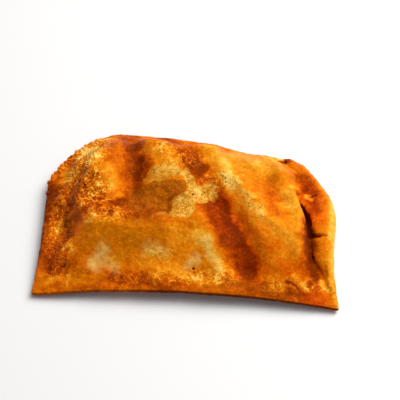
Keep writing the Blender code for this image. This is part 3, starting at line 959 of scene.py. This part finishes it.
# Fried dough. Its colour runs from cream dough through gold and orange to dark brown with
# the browning, and every tone is speckled finely; a thin film of fat gives it a soft gloss.
ORANGE_TONES = (
    (0.0, (255, 216, 112)), (0.2, (252, 176, 42)), (0.38, (238, 136, 12)), (0.55, (218, 104, 3)),
    (0.72, (180, 73, 1)), (0.88, (136, 49, 0)), (1.0, (98, 33, 0)),
)
OCHRE_TONES = (
    (0.0, (250, 210, 118)), (0.2, (240, 170, 50)), (0.38, (222, 132, 10)), (0.55, (200, 106, 2)),
    (0.72, (166, 80, 1)), (0.88, (126, 56, 0)), (1.0, (90, 37, 0)),
)
BARE_TONES = (
    (0.0, (255, 222, 140)), (0.3, (240, 186, 84)), (0.6, (216, 146, 36)), (1.0, (172, 96, 8)),
)
DARKEST_SKIN = 0.95
WALL_WANDER = 0.9       # how far the bubbles' walls stray
GLOW_DEPTH = 1.2        # how far light soaks into the dough
GRAIN_DEPTH = 0.35
RED_OIL = srgb(255, 212, 145)
FLAKE_AND_GLINT_COLOUR = srgb(255, 184, 84)
TORN_LIP_AND_SHADOW = srgb(122, 54, 1)
DULL_DOUGH = srgb(238, 190, 98)
PORE_COLOUR = srgb(124, 50, 0)
PIT_SHADE_COLOUR = srgb(70, 26, 1)
CLEFT_SHADE = srgb(88, 24, 1)
FAT_TINT = srgb(255, 190, 70)

fried_dough, dough, dough_shader = shader_material("fried_dough_skin")
position = put(dough, "ShaderNodeTexCoord").outputs["Object"]


def mask(name):
    """A number that the skin carries, such as its browning."""
    return put(dough, "ShaderNodeAttribute", attribute_name=name).outputs["Fac"]


def speck(size_mm, detail, roughness=0.55):
    """Noise of a size, which keeps to the middle of 0 to 1."""
    inputs = {"Vector": position, "Scale": 1 / (size_mm * MM), "Detail": detail, "Roughness": roughness}
    return put(dough, "ShaderNodeTexNoise", inputs).outputs["Fac"]


def mottled(size_mm, detail, roughness):
    """Noise of a size, spread wider, to about -0.5 to 0.5."""
    return mapped(dough, speck(size_mm, detail, roughness), 0.3, 0.7, -0.5, 0.5)


def ramp(value, stops):
    """The colour that a row of (place, colour) gives for a value."""
    made = put(dough, "ShaderNodeValToRGB", {"Fac": value})
    elements = made.color_ramp.elements
    while len(elements) < len(stops):
        elements.new(0.5)
    for element, (at, colour) in zip(elements, stops):
        element.position = at
        element.color = srgb(*colour)
    return made.outputs["Color"]


def mixed(factor, one, two, blend="MIX"):
    """One colour with the other laid over it by the factor."""
    inputs = {0: factor, 6: one, 7: two}
    return put(dough, "ShaderNodeMix", inputs, data_type="RGBA", blend_type=blend).outputs[2]


pebbly = mask("pebbly")
mottle = mottled(3.6, 5.0, 0.65)
fine = mottled(0.8, 3.0, 0.6)
ruffle = put(dough, "ShaderNodeTexNoise", {"Vector": position, "Scale": 1 / (1.1 * MM), "Detail": 2.0})
bend = put(dough, "ShaderNodeVectorMath", {
    0: ruffle.outputs["Color"], "Scale": WALL_WANDER * MM,
}, operation="SCALE")
bent = put(dough, "ShaderNodeVectorMath", {0: position, 1: bend.outputs[0]}, operation="ADD").outputs[0]


def where_pebbly(least, most):
    """A strength that grows as the skin gets more pebbly."""
    return mapped(dough, pebbly, 0.1, 1.0, least, most)


def bubble_walls(size_mm, thickness, patch_mm):
    """Thin pale walls between burst bubbles of a size, in patches of the pebbly skin."""
    inputs = {"Vector": bent, "Scale": 1 / (size_mm * MM)}
    cell = put(dough, "ShaderNodeTexVoronoi", inputs, feature="DISTANCE_TO_EDGE")
    wall = mapped(dough, cell.outputs["Distance"], 0.02, thickness, 1.0, 0.0)
    patchy = times(dough, wall, mapped(dough, speck(patch_mm, 2.0), 0.42, 0.60, 0.0, 1.0))
    return times(dough, patchy, pebbly)


walls = bubble_walls(2.9, 0.16, patch_mm=5.0)
small_walls = bubble_walls(1.4, 0.22, patch_mm=3.0)
fleck = mapped(dough, speck(2.2, 4.0, 0.72), 0.54, 0.68, 0.0, 1.0)
shades = (
    times(dough, mottle, where_pebbly(0.18, 0.36)),
    times(dough, fine, where_pebbly(0.10, 0.36)),
    times(dough, mottled(0.45, 2.0, 0.5), 0.12),
    times(dough, times(dough, fleck, where_pebbly(0.10, 0.62)), -1.0),
    # blister tops made paler: painted highlight on the bumps
    times(dough, maths(dough, "SUBTRACT", mask("blister"), 0.25), -0.34),
    times(dough, walls, -0.46),
    times(dough, small_walls, -0.26),
)
tone = mask("browning")
for shade in shades:
    tone = plus(dough, tone, shade)
tone = maths(dough, "MINIMUM", tone, DARKEST_SKIN)
colour = mixed(mask("ochre"), ramp(tone, ORANGE_TONES), ramp(tone, OCHRE_TONES))
colour = mixed(mask("reddened"), colour, RED_OIL, "MULTIPLY")

# glassy skin, where fat has soaked in, and pale specks on it and on the pebbly skin,
# partly pale flakes and partly painted glints
glassy = mask("glassy")
glass_tone = plus(dough, 0.72, times(dough, plus(dough, mottle, fine), 0.24))
colour = mixed(times(dough, glassy, 0.9), colour, ramp(glass_tone, OCHRE_TONES))
flake_and_glint = mapped(dough, speck(1.0, 3.0, 0.65), 0.55, 0.68, 0.0, 1.0)
on_pebbles = mapped(dough, pebbly, 0.2, 0.8, 0.0, 0.32)
on_glass = mapped(dough, glassy, 0.2, 0.9, 0.0, 0.26)
colour = mixed(times(dough, flake_and_glint, maths(dough, "MAXIMUM", on_pebbles, on_glass)), colour, FLAKE_AND_GLINT_COLOUR)

# scraped skin: a dark line where it meets the glassy skin, partly its torn lip and partly
# painted shadow under the raised outer skin, dull dough, and bare pale dough
scraped = mask("scraped")
lip = maths(dough, "PINGPONG", mapped(dough, glassy, 0.15, 0.75, 0.0, 2.0), 1.0)
colour = mixed(times(dough, lip, mapped(dough, scraped, 0.05, 0.35, 0.0, 0.9)), colour, TORN_LIP_AND_SHADOW)
dull = times(dough, mask("grey"), mapped(dough, speck(2.5, 4.0), 0.32, 0.6, 0.35, 0.95))
colour = mixed(dull, colour, DULL_DOUGH)
bare_tone = plus(dough, 0.28, times(dough, plus(dough, fine, mottle), 0.80))
bare_tone = plus(dough, bare_tone, times(dough, mask("browning"), 0.5))
bare_edge = plus(dough, scraped, plus(dough, times(dough, fine, 0.36), times(dough, mottle, 0.6)))
bare = mapped(dough, bare_edge, 0.44, 0.64, 0.0, 1.0)
colour = mixed(bare, colour, ramp(bare_tone, BARE_TONES))

# pores, small holes darkened with painted shade, and the deep painted shade in the cleft
# and under the front edge
pore = mapped(dough, speck(1.5, 3.0, 0.6), 0.33, 0.26, 0.0, 1.0)
colour = mixed(times(dough, pore, where_pebbly(0.1, 0.45)), colour, PORE_COLOUR)
colour = mixed(mapped(dough, mask("pit"), 0.2, 0.6, 0.0, 1.0), colour, PIT_SHADE_COLOUR)
colour = mixed(times(dough, mask("shaded"), 0.85), colour, CLEFT_SHADE)

dough.links.new(colour, dough_shader.inputs["Base Color"])
gloss = mapped(dough, speck(2.0, 3.0), 0.3, 0.7, 0.40, 0.62)
dough.links.new(gloss, dough_shader.inputs["Roughness"])
dough_shader.inputs["Specular IOR Level"].default_value = 0.10
dough_shader.inputs["Specular Tint"].default_value = FAT_TINT
dough_shader.inputs["Subsurface Weight"].default_value = 0.10
dough_shader.inputs["Subsurface Radius"].default_value = (1.0, 0.35, 0.08)
dough_shader.inputs["Subsurface Scale"].default_value = GLOW_DEPTH * MM
grain_height = plus(dough, speck(0.7, 4.0, 0.6), times(dough, walls, 0.8))
grain = put(dough, "ShaderNodeBump", {"Height": grain_height, "Strength": 0.7, "Distance": GRAIN_DEPTH * MM})
dough.links.new(grain.outputs[0], dough_shader.inputs["Normal"])

crust.data.materials.clear()
crust.data.materials.append(fried_dough)
crust.data.shade_smooth()
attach(crust, "root")
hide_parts("empanada")


# Fat blisters. Where the rim's left shoulder was thinnest the dough boiled into round beads,
# and the pebbly parts of the skin carry many smaller ones. They are bubbles of the same
# dough, grown out of it.
BEADED_PATCHES = (
    (1.0, 5.0, 0.6, ((-77, 12), (-75, 20), (-62, 36), (-52, 46))),
)
BEAD_SIZES = {
    "Spacing": 1.9 * MM,
    "Least Radius": 0.7 * MM,
    "Largest Radius": 1.45 * MM,
    "Unevenness": 0.25 * MM,
    "Seed": 11,
}
BUBBLE_SIZES = {
    "Spacing": 1.5 * MM,
    "Least Radius": 0.28 * MM,
    "Largest Radius": 0.72 * MM,
    "Unevenness": 0.12 * MM,
    "Seed": 4,
}
BUBBLE_SQUASH = (1.0, 1.0, 0.75)
LUMP_SIZE = 1.2
MOST_PER_SQUARE_METRE = 9.0e5      # more than the spacing leaves room for


def blister_tree(name, where, sizes):
    """Small uneven bubbles grown out of a skin, as thick on it as the named field says."""
    tree, sizes_in, shape_out = geometry_tree(name, sizes)
    given = sizes_in.outputs
    spots = put(tree, "GeometryNodeDistributePointsOnFaces", {
        "Mesh": given["Geometry"],
        "Distance Min": given["Spacing"],
        "Density Max": MOST_PER_SQUARE_METRE,
        "Density Factor": field_of(tree, where),
        "Seed": given["Seed"],
    }, distribute_method="POISSON")
    ball = put(tree, "GeometryNodeMeshIcoSphere", {"Radius": 1.0, "Subdivisions": 2})
    size = put(tree, "FunctionNodeRandomValue", {
        "Min": given["Least Radius"], "Max": given["Largest Radius"], "Seed": given["Seed"],
    }, data_type="FLOAT")
    shape = put(tree, "ShaderNodeVectorMath", {0: BUBBLE_SQUASH, "Scale": size.outputs[1]}, operation="SCALE")
    grown = put(tree, "GeometryNodeInstanceOnPoints", {
        "Points": spots.outputs["Points"],
        "Instance": ball.outputs["Mesh"],
        "Rotation": spots.outputs["Rotation"],
        "Scale": shape.outputs[0],
    })
    real = put(tree, "GeometryNodeRealizeInstances", {"Geometry": grown.outputs[0]})
    here = tree.nodes.new("GeometryNodeInputPosition").outputs[0]
    lumps = put(tree, "ShaderNodeTexNoise", {"Vector": here, "Scale": 1 / (LUMP_SIZE * MM), "Detail": 1.0})
    centred = put(tree, "ShaderNodeVectorMath", {
        0: lumps.outputs["Color"], 1: (0.5, 0.5, 0.5),
    }, operation="SUBTRACT")
    reach = times(tree, given["Unevenness"], 2.0)
    shift = put(tree, "ShaderNodeVectorMath", {0: centred.outputs[0], "Scale": reach}, operation="SCALE")
    uneven = put(tree, "GeometryNodeSetPosition", {"Geometry": real.outputs[0], "Offset": shift.outputs[0]})
    coloured = put(tree, "GeometryNodeSetMaterial", {"Geometry": uneven.outputs[0], "Material": fried_dough})
    tree.links.new(coloured.outputs[0], shape_out.inputs[0])
    return tree


def grow_blisters(name, where, sizes):
    """One piece of all the bubbles that grow where the crust's named field says."""
    piece = bpy.data.objects.new(name, crust.data.copy())
    bpy.context.scene.collection.objects.link(piece)
    use_tree(piece, blister_tree(name, where, sizes), sizes)
    finished_mesh(piece)
    dress_skin(piece.data)
    piece.data.shade_smooth()
    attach(piece, "root")


crust_points = points_of(crust.data)
facing_up = normals_of(crust.data)[:, 2]
beaded = covered(ruffled(crust_points), BEADED_PATCHES) * smooth_step((facing_up + 0.5) / 0.4)
bubbly = np.clip((covered(crust_points[:, :2], PEBBLY_PATCHES) - 0.45) / 0.5, 0, 1)
bubbly *= smooth_step((facing_up - 0.3) / 0.3)
store_field(crust.data, "beaded", beaded)
store_field(crust.data, "bubbly", bubbly)
grow_blisters("shoulder_beads", "beaded", BEAD_SIZES)
grow_blisters("skin_bubbles", "bubbly", BUBBLE_SIZES)
